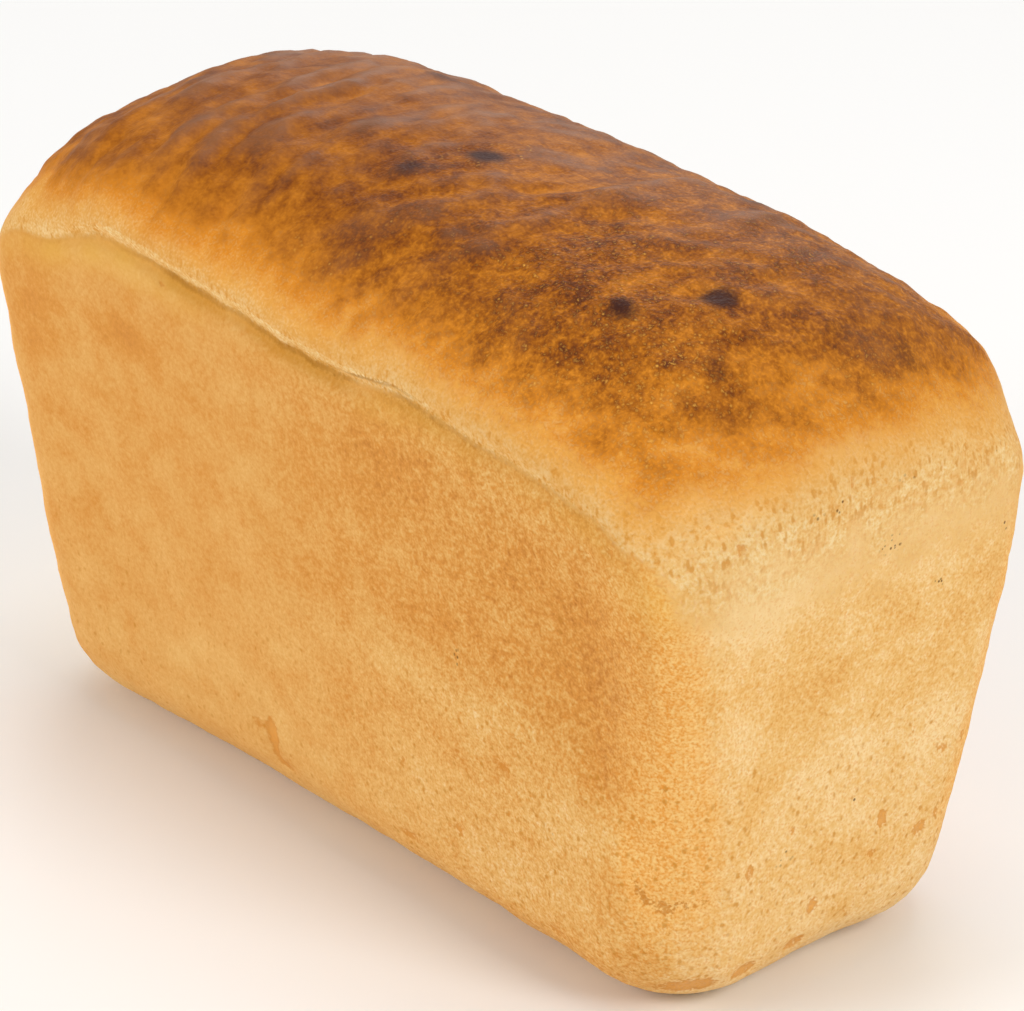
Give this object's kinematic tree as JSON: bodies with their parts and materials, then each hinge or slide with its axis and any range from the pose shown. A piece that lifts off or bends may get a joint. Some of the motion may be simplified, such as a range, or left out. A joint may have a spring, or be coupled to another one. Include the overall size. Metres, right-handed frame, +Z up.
{
  "type": "tin loaf",
  "caption": "Whole white loaf baked in a tapered tin: leaning tan sides, creased rim and a domed, mottled brown top crust.",
  "frame": {"origin": "middle of the loaf's plan, on the flat base that it rests on", "axes": "+X along the loaf's length, +Y across its width, +Z up through the domed crust"},
  "size_m": [0.2186, 0.101, 0.1414],
  "materials": {
    "crust": "matte baked crust: dark brown on top, cream at the rim, tan on the sides"
  },
  "bodies": {
    "root": {"loaf": "crust"}
  },
  "joints": []
}
